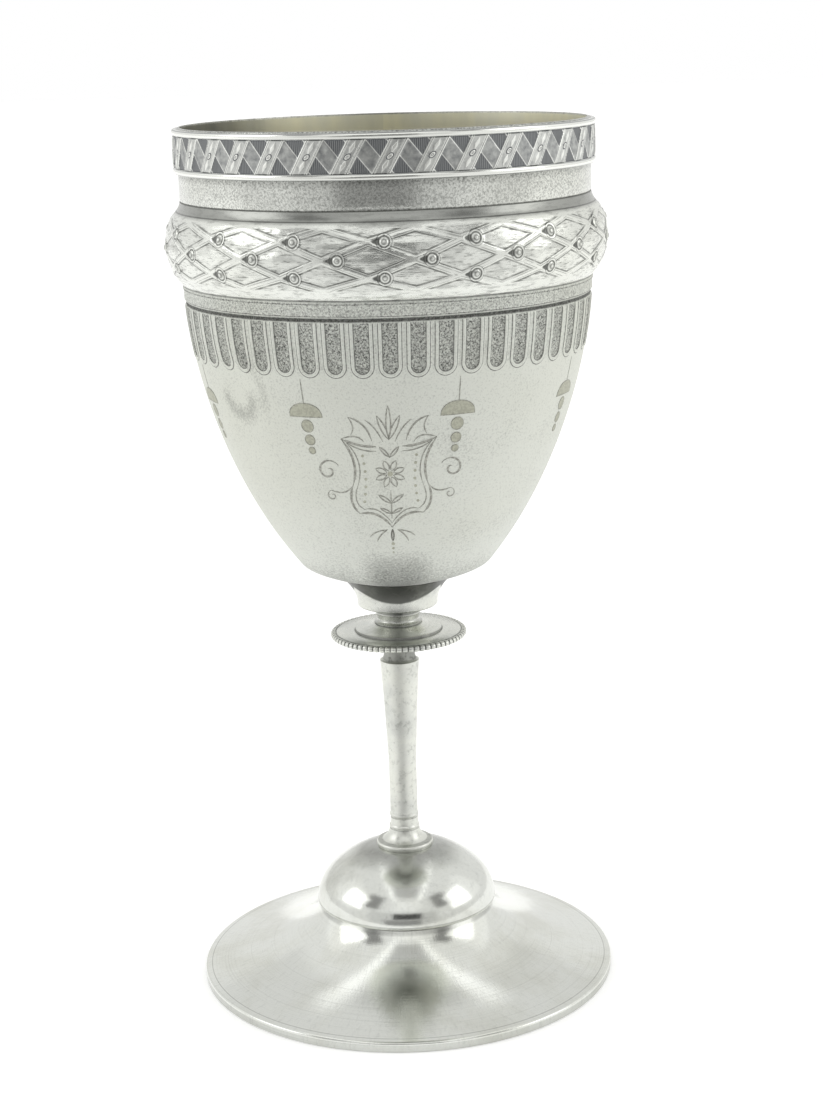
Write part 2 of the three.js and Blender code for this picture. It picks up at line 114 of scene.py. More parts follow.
# Bowl, with heights measured from its base
bowl_wall = 0.7
bowl_base_radius = 10.5
bowl_turn_corner = (17.26, 2.03)
bowl_turn_radius = 18.28
bowl_turn_height = 3.3
bowl_turn_rings = 12
side_radius = 37.6
side_height = 55.8
side_low = (3.4, 0.415)
side_high = (0.3, 0.875)
neck_radius = 37.75
lip_top = bowl_top - bowl_base
lip_radius = 37.1
lip_rise = 0.3

# Girdle and its lattice
girdle_height = side_height + 8.2
girdle_base = 37.8
girdle_swell = 2.82
girdle_half_width = 6.9
girdle_squareness = 1.6
girdle_radius = girdle_base + girdle_swell
neck_line = girdle_height + 7.95
lattice_cells = 16
lattice_turn = math.radians(-4.5)
lattice_row = 3.05
lattice_edge = 2.15
lattice_reach = lattice_row + lattice_edge
half_cell = math.pi / lattice_cells
rib_height = 0.17
rib_half_width = 0.55
cell_pillow = 0.12
bead_setback = 2.7
bead_radius = 0.78
bead_height = 0.5

# Tongues below the girdle and the belt between
tongue_count = 48
belt_height = 2.7
belt_top = side_height + 0.7
tongue_top = side_height - belt_height
tongue_bottom = tongue_top - 10.0
tongue_gap = 0.44
tongue_border = 0.75
tongue_ridge = 0.14
tongue_field = 0.1
tongue_half = math.pi * side_radius / tongue_count - tongue_gap
tongue_inner = tongue_half - tongue_border
tongue_spring = tongue_bottom + tongue_gap + tongue_half

# A shallow dent in the bowl's left side
dent_turn = math.radians(-51)
dent_height = 39.5
dent_depth = 0.85
dent_reach = 5.2

# Frieze on the strip round the lip
fillet_height = 1.1
fillet_bulge = 0.34
frieze_depth = 0.3
ribbon_count = 34
ribbon_turn = math.radians(1.4)
ribbon_half = 1.6
ribbon_lean = 0.56
lozenge_lean = 0.82
frieze_middle = (band_base + band_top) / 2
frieze_half = (band_top - band_base) / 2 - fillet_height
ribbon_pitch = FULL_TURN * band_radius / ribbon_count
gap_half = ribbon_pitch / 2 - ribbon_half


class Field:
    """A number that a material works out at each point, with the arithmetic of a plain number."""

    def __init__(self, tree, socket):
        self.tree = tree
        self.socket = socket

    def math(self, operation, *others):
        values = dict(enumerate((self, *others)))
        return made(self.tree, "Math", 0, values, operation=operation)

    def __add__(self, other):
        return self.math("ADD", other)

    def __sub__(self, other):
        return self.math("SUBTRACT", other)

    def __rsub__(self, other):
        return self * -1 + other

    def __mul__(self, other):
        return self.math("MULTIPLY", other)

    def __truediv__(self, other):
        return self.math("DIVIDE", other)

    __radd__, __rmul__ = __add__, __mul__


def feed(node, values):
    """Gives a node's inputs, by name or number, fields, colours or plain numbers."""
    for name, value in values.items():
        place = node.inputs[name]
        if isinstance(value, Field):
            value.tree.links.new(value.socket, place)
        elif isinstance(value, tuple):
            place.default_value = (*value, 1.0)
        else:
            place.default_value = value


def made(tree, kind, output, values, **settings):
    """One output of a new node, as a field, with the node's inputs fed and its settings made."""
    node = tree.nodes.new("ShaderNode" + kind)
    for name, value in settings.items():
        setattr(node, name, value)
    feed(node, values)
    return Field(tree, node.outputs[output])


def parts_of(vector):
    """x, y and z of a field that holds a vector."""
    return [made(vector.tree, "SeparateXYZ", k, {0: vector}) for k in range(3)]


def turn_about(x, y):
    """The turn of a place, 0 in front of the goblet."""
    return x.math("ARCTAN2", y * -1)


def either(operation, of_array):
    """A function that takes a numpy array or a material's field alike."""

    def work_out(x, *others):
        return x.math(operation, *others) if isinstance(x, Field) else of_array(x, *others)

    return work_out


size_of = either("ABSOLUTE", np.abs)
sine = either("SINE", np.sin)
root = either("SQRT", np.sqrt)
lesser = either("MINIMUM", np.minimum)
greater = either("MAXIMUM", np.maximum)


def wrapped(x, period):
    """x brought into the one period that is centred on nought."""
    if isinstance(x, Field):
        return x.math("WRAP", period / 2, -period / 2)
    return np.mod(x + period / 2, period) - period / 2


def ramp(x, start, end):
    """Rises smoothly from 0 where x is start to 1 where it is end."""
    if isinstance(x, Field):
        values = {"Value": x, "From Min": start, "From Max": end}
        return made(x.tree, "MapRange", "Result", values, interpolation_type="SMOOTHSTEP")
    share = np.clip((x - start) / (end - start), 0, 1)
    return share * share * (3 - 2 * share)


def near(x, centre, far, close):
    """Rises smoothly from 0 where x is that far from the centre to 1 where it is close."""
    return ramp(size_of(x - centre), far, close)


def stripe(x, centre, half_width, soft=0.5):
    """1 on a line of that half width and 0 off it."""
    return near(x, centre, half_width * (1 + soft), half_width * (1 - soft))


def stripes(x, *lines):
    """Stripes at several places, each with its half width and its strength."""
    return sum(stripe(x, centre, half_width) * strength for centre, half_width, strength in lines)


# Patterns, as distances in millimetres
def lattice_pattern(turn, rise):
    """How far a place on the girdle is from the nearest rib, from the nearest bead and into a notch."""
    step = (turn - lattice_turn) / half_cell
    away = size_of(rise)
    edge = greater(away - lattice_row, 0)
    row = (away - edge) / lattice_row + edge / lattice_edge
    cell = half_cell * girdle_radius
    slope_inner = 1 / math.hypot(1 / cell, 1 / lattice_row)
    slope_edge = 1 / math.hypot(1 / cell, 1 / lattice_edge)
    scale = slope_inner + (slope_edge - slope_inner) * ramp(away, lattice_row - 0.1, lattice_row + 0.1)
    falling = size_of(wrapped(step + row - 1, 2))
    rising = size_of(wrapped(step - row - 1, 2))
    to_rib = lesser(falling, rising) * scale

    setback = bead_setback / cell
    across_outer = wrapped(step - setback, 2) * cell
    across_middle = wrapped(step - 1 - setback, 2) * cell
    off_outer = away - lattice_row
    to_outer = root(across_outer * across_outer + off_outer * off_outer)
    to_middle = root(across_middle * across_middle + rise * rise)
    to_bead = lesser(to_outer, to_middle)

    def notch(across, off):
        inside = ramp(across, -2.35, -1.9) * ramp(across, -0.8, -1.0)
        width = (across + 2.5) * 0.42
        return inside * ramp(size_of(off) - width, 0.12, -0.12)

    in_notch = greater(notch(across_outer, off_outer), notch(across_middle, rise))
    return to_rib, to_bead, in_notch


def tongue_pattern(turn, height):
    """How far a place is from the middle line of the nearest tongue."""
    across = wrapped(turn, FULL_TURN / tongue_count) * side_radius
    below = greater(tongue_spring - height, 0)
    return root(across * across + below * below)


def ribbon_pattern(turn, height):
    """Places across and along the nearest ribbon, and across the lozenge beside it."""
    up = height - frieze_middle
    along_band = (turn - ribbon_turn) * band_radius
    across = wrapped(along_band - up * ribbon_lean, ribbon_pitch)
    across_back = wrapped(along_band + up * lozenge_lean - ribbon_pitch / 2, ribbon_pitch)
    return across, up, across_back


# Profiles of the bowl
def curved(*corners, count=24):
    """Points on the quadratic or cubic curve with these corners."""
    corners = [np.array(corner, float) for corner in corners]
    shares = np.linspace(0, 1, count)[:, None]
    while len(corners) > 1:
        corners = [a + (b - a) * shares for a, b in zip(corners, corners[1:])]
    return [tuple(point) for point in corners[0].tolist()]


def bowl_outline():
    """Radius and height of the bowl's outside, from the edge of its base up to its lip."""
    low_corner = (side_radius - side_low[0], side_low[1] * side_height)
    high_corner = (side_radius + side_high[0], side_high[1] * side_height)
    turn_end = (bowl_turn_radius, bowl_turn_height)
    turn = curved((bowl_base_radius, 0), bowl_turn_corner, turn_end, count=bowl_turn_rings)
    side = curved(turn_end, low_corner, high_corner, (side_radius, side_height), count=120)
    girdle_low = girdle_height - 0.97 * girdle_half_width
    girdle_high = girdle_height + 0.8 * girdle_half_width
    rows = np.linspace(girdle_low, girdle_high, 120)
    reach = np.abs(rows - girdle_height) / girdle_half_width
    swell = (1 - reach**girdle_squareness) ** (1 / girdle_squareness)
    girdle = np.column_stack([girdle_base + girdle_swell * swell, rows])
    cove_end = (neck_radius, girdle_high + 2.4)
    cove = curved(girdle[-1], (neck_radius + 0.15, girdle_high + 1.1), cove_end, count=16)
    top = [[neck_radius, lip_top - lip_rise]]
    return np.vstack([turn, side[1:], girdle, cove[1:], top])


outline = bowl_outline()


def outside_radius(height):
    return np.interp(height, outline[:, 1], outline[:, 0])


def dent(turn, height):
    across = side_radius * np.sin(turn - dent_turn)
    along = height - dent_height
    front = np.cos(turn - dent_turn) > 0
    return front * dent_depth * np.exp(-(across**2 + along**2) / dent_reach**2)


def bowl_relief(turn, height):
    """How far the bowl's outside rises over its plain profile."""
    rise = height - girdle_height
    to_rib, to_bead, in_notch = lattice_pattern(turn, np.full_like(turn, rise))
    on_girdle = ramp(abs(rise), lattice_reach + 0.25, lattice_reach - 0.15)
    rib = rib_height * ramp(to_rib, rib_half_width + 0.35, rib_half_width - 0.35)
    pillow = cell_pillow * ramp(to_rib, rib_half_width + 0.2, rib_half_width + 1.9)
    ball = bead_height * np.sqrt(np.clip(1 - (to_bead / bead_radius) ** 2, 0, 1))
    collar = 0.14 * stripe(to_bead, bead_radius + 0.45, 0.2)
    near_bead = ramp(to_bead, bead_radius + 0.75, bead_radius + 0.45)
    lattice = (rib + pillow) * (1 - near_bead) + near_bead * 0.08 + collar - 0.16 * in_notch
    lattice = np.where(to_bead < bead_radius, ball, lattice)

    out = tongue_pattern(turn, np.full_like(turn, height))
    on_tongues = ramp(height, tongue_top + 0.15, tongue_top - 0.1)
    crest = ramp(out, tongue_half + 0.16, tongue_half - 0.1)
    crest = crest * ramp(out, tongue_inner - 0.12, tongue_inner + 0.14)
    tongues = tongue_ridge * crest - tongue_field * ramp(out, tongue_inner + 0.05, tongue_inner - 0.15)

    belt = 0.14 * ramp(height, tongue_top + 0.95, tongue_top + 1.15)
    belt = belt * ramp(height, belt_top + 0.1, belt_top - 0.1)
    low_groove = 0.22 * stripe(height, tongue_top + 0.55, 0.32)
    high_groove = 0.2 * stripe(height, belt_top + 0.35, 0.22)
    neck_groove = 0.1 * stripe(height, neck_line, 0.14)
    return (
        lattice * on_girdle
        + tongues * on_tongues
        + belt
        - low_groove
        - high_groove
        - neck_groove
        - dent(turn, height)
    )


class Skin:
    """A closed surface gathered ring by ring. Turn 0 is the front, and turns grow to the right."""

    def __init__(self):
        self.points = []
        self.inside = []
        self.faces = []
        self.count = 0
        self.first = self.last = None

    def ring(self, turn, radius, height, inside=0.0):
        turn, radius, height = np.broadcast_arrays(np.atleast_1d(turn), radius, height)
        places = np.column_stack([radius * np.sin(turn), -radius * np.cos(turn), height])
        self.points.append(places * MM)
        self.inside.append(np.full(len(turn), inside))
        row = np.arange(self.count, self.count + len(turn))
        self.count += len(turn)
        if self.last is None:
            self.first = row
        else:
            self.join(self.last, row)
        self.last = row

    def rings(self, count, places, inside=0.0):
        """Round rings at pairs of radius and height, with one point on the axis for radius 0."""
        for radius, height in places:
            self.ring(turns(count) if radius else 0.0, radius, height, inside)

    def join(self, low, high):
        """Faces between two rings, one of which may have a whole number of times more places."""
        if len(low) == len(high):
            next_low, next_high = np.roll(low, -1), np.roll(high, -1)
            self.faces += np.column_stack([low, next_low, next_high, high]).tolist()
            return
        few, many = (low, high) if len(low) < len(high) else (high, low)
        times = len(many) // len(few)
        middle = times // 2
        order = -1 if few is high else 1
        for i, place in enumerate(few):
            follower = few[(i + 1) % len(few)]
            fan = [many[(i * times + k) % len(many)] for k in range(times + 1)]
            for k in range(times):
                corner = place if k < middle or len(few) == 1 else follower
                self.faces.append([corner, fan[k + 1], fan[k]][::order])
            if len(few) > 1:
                self.faces.append([place, follower, fan[middle]][::order])

    def close(self):
        self.join(self.last, self.first)


def turns(count):
    return np.arange(count) * FULL_TURN / count


def new_object(name, data):
    thing = bpy.data.objects.new(name, data)
    bpy.context.scene.collection.objects.link(thing)
    return thing


def make_piece(name, points, faces, mark, material, node, sharp_angle):
    """One piece of the dressed goblet, in place of its CAD node where it names one."""
    mesh = bpy.data.meshes.new(name)
    mesh.from_pydata(points, [], faces)
    mark_name, values = mark
    attribute = mesh.attributes.new(mark_name, "FLOAT", "POINT")
    attribute.data.foreach_set("value", np.array(values, np.float32))
    if sharp_angle:
        mesh.shade_smooth()
        mesh.set_sharp_from_angle(angle=math.radians(sharp_angle))
    mesh.materials.append(material)
    mesh.update()
    piece = new_object(name, mesh)
    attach(piece, "root")
    if node:
        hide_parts(node)


def turned(profile, count):
    """The skin of a piece turned from pairs of radius and height, counted up the outside."""
    skin = Skin()
    skin.rings(count, profile)
    if profile[0][0] > 0:
        skin.close()
    return skin


# Foot
def foot_skin():
    cove = curved(
        (foot_collar_radius, foot_top),
        (foot_collar_radius + foot_cove_reach, foot_cove_height),
        (foot_radius - foot_rim_height / 3, foot_rim_height),
        count=40,
    )
    along = np.gradient(cove, axis=0)
    along /= np.linalg.norm(along, axis=1)[:, None]
    under = np.array(cove) + np.column_stack([along[:, 1], -along[:, 0]]) * foot_sheet
    under = under[4:34:3].tolist()
    standing = foot_radius - foot_standing_width
    rim = curved((foot_radius, foot_rim_face), (foot_radius, foot_rim_height), cove[-1], count=6)
    bevel = 0.3
    profile = [
        (foot_mouth_radius, foot_top),
        (foot_mouth_radius, foot_top - 2 * foot_sheet),
        *under,
        (standing, foot_rim_height - foot_sheet),
        (standing, 0),
        (foot_radius - bevel, 0),
        (foot_radius, bevel),
        *rim,
        *cove[::-1][1:],
    ]
    return turned(profile, 256)


# Dome
def dome_skin():
    centre = dome_base + dome_lip

    def arc(sheet, count):
        """The dome's outside, or its inside at that thickness of the sheet, from its lip up."""
        radius, rise = dome_radius - sheet, dome_rise - sheet
        angles = np.linspace(0, math.acos((dome_top_radius - sheet) / radius), count)
        return [(radius * math.cos(angle), centre + rise * math.sin(angle)) for angle in angles]

    inside = arc(dome_sheet, 16)
    lip_start = (dome_radius - dome_lip_width, dome_base)
    lip = curved(lip_start, (dome_radius, dome_base), (dome_radius, centre), count=6)
    profile = [
        (0, inside[-1][1]),
        *inside[::-1],
        (foot_mouth_radius, foot_top),
        (dome_radius - 1.0, foot_top),
        *lip,
        *arc(0.0, 36)[1:],
        (0, dome_top),
    ]
    return turned(profile, 192)


# Stem
def stem_skin():
    flare_top = stem_base + stem_flare_height
    waist_top = flare_top + stem_waist_length
    collar_top = stem_base + stem_collar_height
    flare = curved(
        (stem_collar_radius - 0.25, collar_top),
        (stem_waist_radius, collar_top + 0.3),
        (stem_waist_radius, flare_top),
        count=18,
    )
    swell = curved(
        (stem_waist_radius, waist_top),
        ((2 * stem_waist_radius + stem_shoulder_radius) / 3, (waist_top + stem_shoulder) / 2),
        (stem_shoulder_radius, stem_shoulder - 0.2),
        count=30,
    )
    neck = curved(
        (stem_shoulder_radius - 0.35, stem_shoulder + 0.15),
        (stem_neck_radius, stem_shoulder + 0.5),
        (stem_neck_radius, stem_top - stem_neck_length),
        (stem_neck_radius, disc_base),
        count=12,
    )
    profile = [
        (0, dome_top - 0.02),
        (stem_collar_radius - 0.1, dome_top - 0.02),
        (stem_collar_radius, stem_base + 0.2),
        (stem_collar_radius, collar_top - 0.25),
        (stem_collar_radius - 0.12, collar_top - 0.06),
        *flare,
        *[(stem_waist_radius, height) for height in np.linspace(flare_top, waist_top, 24)[1:-1]],
        *swell,
        (stem_shoulder_radius, stem_shoulder),
        *neck,
        (0, disc_base),
    ]
    fine = []
    for (radius, height), (next_radius, next_height) in zip(profile, profile[1:]):
        widening, climb = next_radius - radius, next_height - height
        steps = max(1, min(int(abs(climb) / 0.12), 6))
        fine += [(radius + widening * share, height + climb * share) for share in np.arange(steps) / steps]
    fine.append(profile[-1])
    result = []
    for radius, height in fine:
        for ring_height in stem_ring_heights:
            away = abs(height - stem_base - ring_height)
            if 0 < away < 0.3 and 0 < radius < stem_collar_radius - 1:
                radius += stem_ring_size * (1 - (away / 0.3) ** 2)
        result.append((radius, height))
    return turned(result, 96)


# Disc with its row of beads
def disc_skin():
    turn = turns(disc_beads * 10)
    edge_top = disc_base + disc_edge_height
    across = wrapped(turn, FULL_TURN / disc_beads) / (math.pi / disc_beads)
    bulge = np.sqrt(np.clip(1 - 0.93 * across**2, 0, 1))
    middle = disc_base + disc_edge_height / 2
    core = disc_radius - disc_edge_height / 2
    skin = Skin()
    skin.rings(72, [(0, disc_base), (disc_step_radius, disc_base), (core - 0.75, disc_base)])
    skin.ring(turn, core - 0.5, disc_base + 0.08)
    for angle in np.radians(np.linspace(-110, 110, 15)):
        reach = disc_edge_height / 2 * (1 - disc_bead_size + disc_bead_size * bulge)
        skin.ring(turn, core + reach * np.cos(angle), middle + reach * np.sin(angle))
    skin.ring(turn, core - 0.5, edge_top - 0.12)
    step_top = edge_top + 2 * disc_step_height
    dish = curved(
        (disc_step_radius - 0.15, step_top),
        (spool_foot_radius + 1.5, step_top),
        (spool_foot_radius, socket_base),
        count=10,
    )
    upper = [
        (core - 0.62, edge_top - 0.02),
        (disc_step_radius + 0.6, edge_top + 0.12),
        (disc_step_radius + 0.12, edge_top + 0.14),
        (disc_step_radius + 0.02, step_top - 0.06),
        *dish,
        (0, socket_base),
    ]
    skin.rings(144, upper)
    return skin


# Socket
def socket_skin():
    spool_top = socket_base + spool_height
    shoulder = socket_base + socket_shoulder_height
    under = curved(
        (spool_flange_radius, spool_top + spool_flange_thickness),
        (socket_shoulder_radius - 0.3, spool_top + 2 * spool_flange_thickness),
        (socket_shoulder_radius - 0.5, shoulder - 0.4),
        count=14,
    )
    cup = curved(
        (socket_shoulder_radius - 0.5, shoulder - 0.4),
        (socket_shoulder_radius - 0.45, shoulder + 2.6),
        (socket_radius, bowl_base),
        count=24,
    )
    waist = curved(
        (spool_foot_radius, socket_base + 0.35),
        (spool_radius, socket_base + 0.5),
        (spool_radius, socket_base + spool_height / 2),
        (spool_flange_radius, spool_top - 0.25),
        count=12,
    )
    profile = [
        (0, socket_base),
        (spool_foot_radius, socket_base),
        *waist,
        (spool_flange_reach, spool_top - 0.1),
        (spool_flange_reach, spool_top + 0.3),
        *under,
        *cup[1:],
        (0, bowl_base),
    ]
    return turned(profile, 128)


# Bowl
def bowl_skin():
    skin = Skin()
    coarse, fine = 192, 960
    lattice_low, lattice_high = girdle_height - lattice_reach - 0.3, girdle_height + lattice_reach + 0.3

    def rows(heights, count):
        turn = turns(count)
        for height in heights:
            radius = outside_radius(height) + bowl_relief(turn, height)
            skin.ring(turn, radius, bowl_base + height)

    skin.rings(coarse, [(0, bowl_base)])
    skin.rings(coarse, outline[:bowl_turn_rings] + [0, bowl_base])
    rows(np.linspace(bowl_turn_height, tongue_bottom - 0.3, 40)[1:], coarse)
    rows(np.linspace(tongue_bottom - 0.1, tongue_top, 27), fine)
    rows(np.linspace(tongue_top + 0.1, lattice_low, 20)[1:], fine // 2)
    rows(np.linspace(lattice_low, lattice_high, 44)[1:], fine)
    rows(np.linspace(lattice_high, neck_line + 0.35, 12)[1:], coarse)
    rows(np.linspace(neck_line + 0.35, lip_top - lip_rise, 8)[1:], coarse)
    lip = curved(
        (neck_radius, lip_top - lip_rise),
        ((neck_radius + lip_radius) / 2 + 0.15, lip_top + 0.02),
        (lip_radius, lip_top - 0.08),
        count=6,
    )
    skin.rings(coarse, [(radius, bowl_base + min(height, lip_top)) for radius, height in lip[1:]])

    inside_turn = turns(coarse)
    for height in np.linspace(lip_top - 0.5, 1.2, 44):
        depth = lip_top - height
        wall = bowl_wall * min(1.0, 0.92 + depth)
        radius = outside_radius(height) - wall
        if depth < 8:
            radius = min(radius, lip_radius)
        skin.ring(inside_turn, radius - dent(inside_turn, height), bowl_base + height, 1.0)
    floor = bowl_base + bowl_wall
    skin.rings(coarse, [(bowl_base_radius, floor), (0, floor)], 1.0)
    return skin


# Strip round the lip
def band_relief(turn, height):
    """How deep the frieze lies under the ribbons' faces."""
    across, up, across_back = ribbon_pattern(turn, np.full_like(turn, height))
    ribbon = ramp(size_of(across), ribbon_half + 0.12, ribbon_half - 0.06)
    lozenge = ramp(size_of(across_back), gap_half, gap_half - 0.2)
    groove = 0.05 * stripe(size_of(across), ribbon_half - 0.42, 0.1)
    leaf_width = 0.5 * np.clip(1 - np.abs(np.abs(up) - 1.45) / 0.95, 0, 1) ** 0.7
    leaf = 0.1 * ramp(np.abs(across) - leaf_width, 0.1, -0.12)
    boss = 0.12 * ramp(np.hypot(across, up), 0.5, 0.3)
    rise = 0.22 * ribbon - groove * ribbon + np.maximum(leaf, boss) * ribbon - 0.08
    rise += 0.1 * lozenge * (1 - ribbon)
    return np.minimum(rise, frieze_depth - 0.05)


def band_skin():
    skin = Skin()
    count = ribbon_count * 32
    turn = turns(count)
    inner = neck_radius + 0.02
    ground = band_radius - frieze_depth
    low, high = band_base + fillet_height, band_top - fillet_height
    coarse = count // 4

    def fillet(middle):
        for angle in np.radians(np.linspace(-80, 80, 12)):
            radius = band_radius - fillet_bulge * (1 - math.cos(angle)) ** 0.9
            skin.rings(coarse, [(radius, middle + math.sin(angle) * fillet_height / 2)])

    skin.rings(coarse, [(inner, band_base)])
    fillet(band_base + fillet_height / 2)
    skin.ring(turn, ground, low + 0.04)
    for height in np.linspace(low + 0.1, high - 0.1, 26):
        skin.ring(turn, ground + band_relief(turn, height), height)
    skin.ring(turn, ground, high - 0.04)
    fillet(band_top - fillet_height / 2)
    skin.rings(coarse, [(inner, band_top)])
    skin.close()
    return skin


# Engraved strokes and matted shapes that follow the bowl's side
class Engraving:
    """Thin closed strokes on the bowl. Places are millimetres across from a turn, and height."""

    def __init__(self):
        self.points = []
        self.faces = []
        self.matted = []

    def add(self, turn, height, lift):
        radius = outside_radius(height) - dent(turn, height) + lift
        place = (radius * math.sin(turn), -radius * math.cos(turn), bowl_base + height)
        self.points.append([part * MM for part in place])

    def shell(self, start, size, matted):
        """Closes the rings of points from start on. A plate's rings run the other way round."""
        end = len(self.points)
        for a in range(start, end - size):
            b = a + 1 if (a + 1 - start) % size else a + 1 - size
            self.faces.append([a, b, b + size, a + size] if matted else [a, a + size, b + size, b])
        first = list(range(start, start + size))
        last = list(range(end - size, end))
        self.faces += [last, first[::-1]] if matted else [first, last[::-1]]
        self.matted += [float(matted)] * (end - start)

    def stroke(self, turn, path, width, depth=0.04):
        """A groove with fine raised edges along a path of points across and up."""
        path = np.array(path, float)
        along = np.gradient(path, axis=0)
        along /= np.linalg.norm(along, axis=1)[:, None] + 1e-9
        side = np.column_stack([-along[:, 1], along[:, 0]])
        count = len(path)
        to_end = np.minimum(np.arange(count), np.arange(count)[::-1])
        taper = np.clip(to_end / max(count * 0.18, 1), 0.25, 1)
        start = len(self.points)
        section = [(0.5, -0.05), (0.5, depth), (0.0, 0.006), (-0.5, depth), (-0.5, -0.05)]
        for place, shift, share in zip(path, side, taper):
            for offset, lift in section:
                across, height = place + shift * offset * width * share
                self.add(turn + across / outside_radius(place[1]), height, lift)
        self.shell(start, len(section), False)

    def plate(self, turn, rim):
        """A thin shape inside a closed rim of points across and up, bowed as the bowl is."""
        start = len(self.points)
        lift = 0.035
        rim = np.array(rim, float)
        centre = rim.mean(axis=0)
        rings = [(1.0, -0.05), (1.0, lift)] + [(share, lift * 0.5) for share in (0.85, 0.65, 0.45, 0.25)]
        for share, ring_lift in rings:
            for x, height in centre + (rim - centre) * share:
                self.add(turn + x / outside_radius(height), height, ring_lift)
        self.shell(start, len(rim), True)


def circle(x, height, radius, count):
    return [
        (x + radius * math.cos(a), height + radius * math.sin(a))
        for a in np.linspace(0, FULL_TURN, count, endpoint=False)
    ]


def spiral(x, height, start_radius, end_radius, start_angle, sweep):
    """A curl that winds in from its outer end."""
    shares = np.linspace(0, 1, 40)
    radii = start_radius + (end_radius - start_radius) * shares
    angles = np.radians(start_angle + sweep * shares)
    return np.column_stack([x + radii * np.cos(angles), height + radii * np.sin(angles)])


pendant_turns = [math.radians(-25.7 + 45 * k) for k in range(8)]
pendant_line = (43.2, 38.6)
pendant_cap = 36.3
pendant_half = 3.15
pendant_rise = 2.5
pendant_dots = ((34.6, 1.15), (32.0, 0.95), (30.0, 0.65))


def add_pendants(engraving):
    arch = [
        (pendant_half * math.cos(a), pendant_cap + pendant_rise * math.sin(a) ** 0.8)
        for a in np.linspace(0, math.pi, 22)
    ]
    cap = arch + [(x, pendant_cap) for x in np.linspace(-pendant_half, pendant_half, 12)[1:-1]]
    for turn in pendant_turns:
        engraving.stroke(turn, [(0.0, h) for h in np.linspace(*pendant_line, 10)], 0.2, 0.03)
        engraving.plate(turn, cap)
        engraving.stroke(turn, cap + cap[:2], 0.16, 0.05)
        for height, radius in pendant_dots:
            dot = circle(0.0, height, radius, 18)
            engraving.plate(turn, dot)
            engraving.stroke(turn, dot + dot[:2], 0.12, 0.05)


emblem_turn = math.radians(-1.2)
emblem_middle = 25.2
emblem_scale = 0.88


def add_emblem(engraving):
    """A made-up ornament: a flower in a scalloped frame, with curls, leaves and drops round it."""

    def placed(path):
        return [(x * emblem_scale, emblem_middle + height * emblem_scale) for x, height in path]

    def line(path, width):
        engraving.stroke(emblem_turn, placed(path), width)

    def drop(x, height, radius):
        engraving.plate(emblem_turn, placed(circle(x, height, radius, 12)))

    def both(path, width):
        line(path, width)
        line([(-x, y) for x, y in path], width)

    def bow(width, *corners):
        both(curved(*corners), width)

    def leaf(height, lean, reach, half_width):
        """A leaf from the middle line, on both sides unless it stands upright."""
        angle = math.radians(lean)
        tip = (math.sin(angle) * reach, height + math.cos(angle) * reach)
        middle = (tip[0] / 2, (tip[1] + height) / 2)
        for side in (-half_width, half_width):
            bend = (middle[0] + math.cos(angle) * side, middle[1] - math.sin(angle) * side)
            draw = both if lean else line
            draw(curved((0.0, height), bend, tip, count=14), 0.24)

    # Frame in two lines, with horns at its shoulders
    for inset, width in ((0.0, 0.42), (1.0, 0.2)):
        shoulder = (9.6 - inset, 8.2 - 0.7 * inset)
        waist = (7.6 - inset, -2.0)
        heel = (6.4 - inset, -8.4 + inset)
        foot = (0.0, -11.6 + inset)
        bow(width, (2.6, 6.6 - inset), (5.6, 6.4 - inset), shoulder)
        bow(width, shoulder, (5.8 - inset, 3.4), waist)
        bow(width, waist, (9.0 - inset, -6.0), heel)
        bow(width, heel, (2.6, -7.4 + inset), foot)
    bow(0.3, (3.4, 7.8), (4.4, 12.0), (8.0, 12.8))
    bow(0.22, (8.0, 12.8), (6.4, 10.8), (7.6, 9.0))
    bow(0.22, (5.0, 7.6), (6.2, 9.6), (9.6, 8.2))

    # Flower with eight petals on a leafy stalk
    for k in range(8):
        angle = math.radians(45 * k + 22.5)
        tip = (3.1 * math.cos(angle), 0.6 + 3.1 * math.sin(angle))
        root_place = (0.7 * math.cos(angle), 0.6 + 0.7 * math.sin(angle))
        for side in (-0.5, 0.5):
            bend = (2.2 * math.cos(angle + side), 0.6 + 2.2 * math.sin(angle + side))
            line(curved(root_place, bend, tip, count=12), 0.22)
    drop(0.0, 0.6, 0.55)
    leaf(4.2, 40, 3.0, 0.6)
    leaf(-6.0, 52, 3.2, 0.7)
    leaf(-8.4, 60, 2.6, 0.55)
    line([(0.0, h) for h in np.linspace(-3.0, -9.6, 12)], 0.22)
    for k in range(7):
        height = -5.6 + 1.7 * k
        for side in (-1, 1):
            x = side * (4.9 + 0.08 * abs(k - 3) ** 1.6)
            drop(x, height, 0.3)

    # Plume above, curls beside and drops below
    for lean, reach in ((0.0, 7.2), (24.0, 5.6)):
        leaf(8.0, lean, reach, 0.95)
    bow(0.22, (1.2, 7.6), (2.6, 11.0), (4.6, 12.2))
    both(spiral(12.6, 1.2, 2.5, 0.4, 150, -430), 0.34)
    bow(0.24, (7.8, -2.2), (9.2, -4.4), (12.2, -3.2))
    both(spiral(12.0, -4.4, 1.2, 0.2, 80, -380), 0.22)
    bow(0.26, (1.0, -12.2), (2.6, -13.2), (3.2, -15.0))
    bow(0.2, (1.0, -12.2), (3.4, -12.4), (4.6, -13.8))
    leaf(-12.0, 180, 3.0, 0.45)
    for height, radius in ((-15.6, 0.36), (-16.7, 0.28), (-17.7, 0.2)):
        drop(0.0, height, radius)


# Materials
def new_material(name):
    material = bpy.data.materials.new(name)
    material.use_nodes = True
    return material


def feed_shader(material, values):
    feed(material.node_tree.nodes["Principled BSDF"], values)
    return material


def coordinates(material):
    """Turn and height in millimetres of the shaded place, then its vector, x and y in metres."""
    vector = made(material.node_tree, "TexCoord", "Object", {})
    x, y, z = parts_of(vector)
    return turn_about(x, y), z * (1 / MM), vector, x, y


